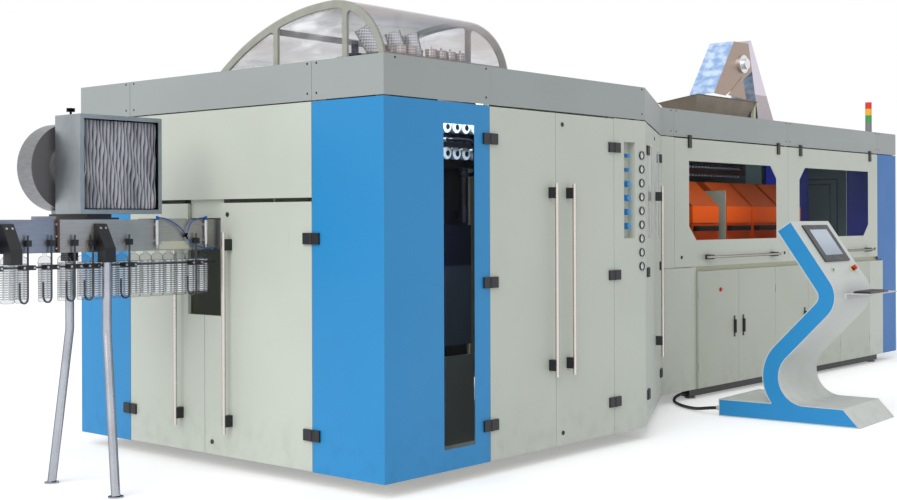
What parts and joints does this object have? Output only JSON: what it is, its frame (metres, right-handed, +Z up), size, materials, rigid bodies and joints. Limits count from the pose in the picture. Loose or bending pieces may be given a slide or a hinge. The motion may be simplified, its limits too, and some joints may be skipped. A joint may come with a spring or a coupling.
{
  "type": "blow moulding machine",
  "caption": "Stretch blow moulding machine with a panelled cabin, lamp oven, preform hopper, air conveyor and operator console.",
  "frame": {"origin": "centre of the underside of the levelling foot at the cabin's front left", "axes": "+X along the front from the cabin to the oven, +Y into the machine, +Z up"},
  "size_m": [11.146, 4.0618, 3.52],
  "materials": {
    "frame": "satin",
    "feet": "satin",
    "blue_panel": "satin",
    "cream_panel": "satin",
    "grey_panel": "satin",
    "black_plastic": "satin",
    "clear_pane": "polished",
    "canopy_grey": "satin",
    "silencer": "satin",
    "stainless": "brushed",
    "lamp": "glossy",
    "bottle": "glossy",
    "filter": "matt",
    "hose": "satin",
    "orange_module": "satin",
    "machine_grey": "satin",
    "console_blue": "satin",
    "gauge": "glossy",
    "red_plastic": "glossy",
    "green_plastic": "glossy",
    "cable": "satin"
  },
  "bodies": {
    "machine": {"machine_frame": "frame", "levelling_feet": "feet", "corner_panels": "blue_panel", "fixed_panels": "cream_panel", "gauge_panel": "cream_panel", "pressure_gauges": "gauge", "regulator_knobs": "black_plastic", "conveyor_clamps": "black_plastic", "blower": "black_plastic", "operator_panel": "black_plastic", "fascia_panels": "grey_panel", "corner_window": "clear_pane", "canopy_shell": "clear_pane", "canopy_frame": "canopy_grey", "exhaust_silencers": "silencer", "preform_hopper": "stainless", "preform_elevator": "stainless", "conveyor_beam": "stainless", "conveyor_legs": "stainless", "guide_rail": "stainless", "filter_box": "stainless", "air_cylinders": "stainless", "stack_light": "lamp", "bottles": "bottle", "filter_media": "filter", "air_hose_left": "hose", "air_hose_right": "hose", "air_hose_supply": "hose", "oven_modules": "orange_module", "oven_bed": "machine_grey", "clamp_unit": "machine_grey", "keyboard_tray": "machine_grey", "console_housing": "console_blue", "console_cable": "cable"},
    "end_door_right": {"end_door_right": "cream_panel", "end_handle_right": "stainless"},
    "end_door_left": {"end_door_left": "cream_panel", "end_handle_left": "stainless"},
    "front_door_left": {"front_door_left": "cream_panel", "front_handle_left": "stainless"},
    "front_door_right": {"front_door_right": "cream_panel", "front_handle_right": "stainless"},
    "angled_door_left": {"angled_door_left": "cream_panel", "angled_pane_left": "clear_pane"},
    "angled_door_right": {"angled_door_right": "cream_panel", "angled_pane_right": "clear_pane", "angled_handle": "stainless"},
    "oven_flap_left": {"oven_flap_left": "cream_panel", "flap_pane_left": "clear_pane", "flap_handle_left": "stainless"},
    "oven_flap_right": {"oven_flap_right": "cream_panel", "flap_pane_right": "clear_pane", "flap_handle_right": "stainless"},
    "cabinet_door_1": {"cabinet_door_1": "cream_panel"},
    "cabinet_door_2": {"cabinet_door_2": "cream_panel"},
    "cabinet_door_3": {"cabinet_door_3": "cream_panel"},
    "cabinet_door_4": {"cabinet_door_4": "cream_panel"},
    "cabinet_door_5": {"cabinet_door_5": "cream_panel"},
    "estop_head": {"estop_head": "red_plastic"},
    "push_button": {"push_button": "green_plastic"}
  },
  "joints": [
    {"name": "front_door_left_hinge", "type": "hinge", "parent": "machine", "child": "front_door_left", "pos_m": [0.53, -0.452, 1.216], "axis": [0, 0, -1], "range_deg": [0, 110]},
    {"name": "front_door_right_hinge", "type": "hinge", "parent": "machine", "child": "front_door_right", "pos_m": [1.934, -0.452, 1.216], "axis": [0, 0, 1], "range_deg": [0, 110]},
    {"name": "end_door_right_hinge", "type": "hinge", "parent": "machine", "child": "end_door_right", "pos_m": [-0.452, 0.165, 0.915], "axis": [0, 0, 1], "range_deg": [0, 100]},
    {"name": "end_door_left_hinge", "type": "hinge", "parent": "machine", "child": "end_door_left", "pos_m": [-0.452, 2.005, 0.915], "axis": [0, 0, -1], "range_deg": [0, 100]},
    {"name": "angled_door_left_hinge", "type": "hinge", "parent": "machine", "child": "angled_door_left", "pos_m": [2.52907, -0.35594, 1.216], "axis": [0, 0, -1], "range_deg": [0, 110]},
    {"name": "angled_door_right_hinge", "type": "hinge", "parent": "machine", "child": "angled_door_right", "pos_m": [3.76386, 0.29908, 1.216], "axis": [0, 0, 1], "range_deg": [0, 50]},
    {"name": "oven_flap_left_hinge", "type": "hinge", "parent": "machine", "child": "oven_flap_left", "pos_m": [5.211, 0.375, 2.346], "axis": [-1, 0, 0], "range_deg": [0, 80]},
    {"name": "oven_flap_right_hinge", "type": "hinge", "parent": "machine", "child": "oven_flap_right", "pos_m": [7.394, 0.375, 2.346], "axis": [-1, 0, 0], "range_deg": [0, 80]},
    {"name": "cabinet_door_1_hinge", "type": "hinge", "parent": "machine", "child": "cabinet_door_1", "pos_m": [4.495, 0.367, 0.62], "axis": [0, 0, -1], "range_deg": [0, 80]},
    {"name": "cabinet_door_2_hinge", "type": "hinge", "parent": "machine", "child": "cabinet_door_2", "pos_m": [5.97884, 0.367, 0.62], "axis": [0, 0, 1], "range_deg": [0, 80]},
    {"name": "cabinet_door_3_hinge", "type": "hinge", "parent": "machine", "child": "cabinet_door_3", "pos_m": [5.98284, 0.367, 0.62], "axis": [0, 0, -1], "range_deg": [0, 80]},
    {"name": "cabinet_door_4_hinge", "type": "hinge", "parent": "machine", "child": "cabinet_door_4", "pos_m": [7.4611, 0.367, 0.62], "axis": [0, 0, 1], "range_deg": [0, 80]},
    {"name": "cabinet_door_5_hinge", "type": "hinge", "parent": "machine", "child": "cabinet_door_5", "pos_m": [8.219, 0.367, 0.62], "axis": [0, 0, 1], "range_deg": [0, 80]},
    {"name": "estop_press", "type": "slide", "parent": "machine", "child": "estop_head", "axis": [-0.0504, 0.8234, -0.5652], "range_m": [0, 0.006], "stiffness_N_per_m": 1500, "springref_m": -0.002},
    {"name": "button_press", "type": "slide", "parent": "machine", "child": "push_button", "axis": [-0.0504, 0.8234, -0.5652], "range_m": [0, 0.004], "stiffness_N_per_m": 800, "springref_m": -0.001}
  ]
}
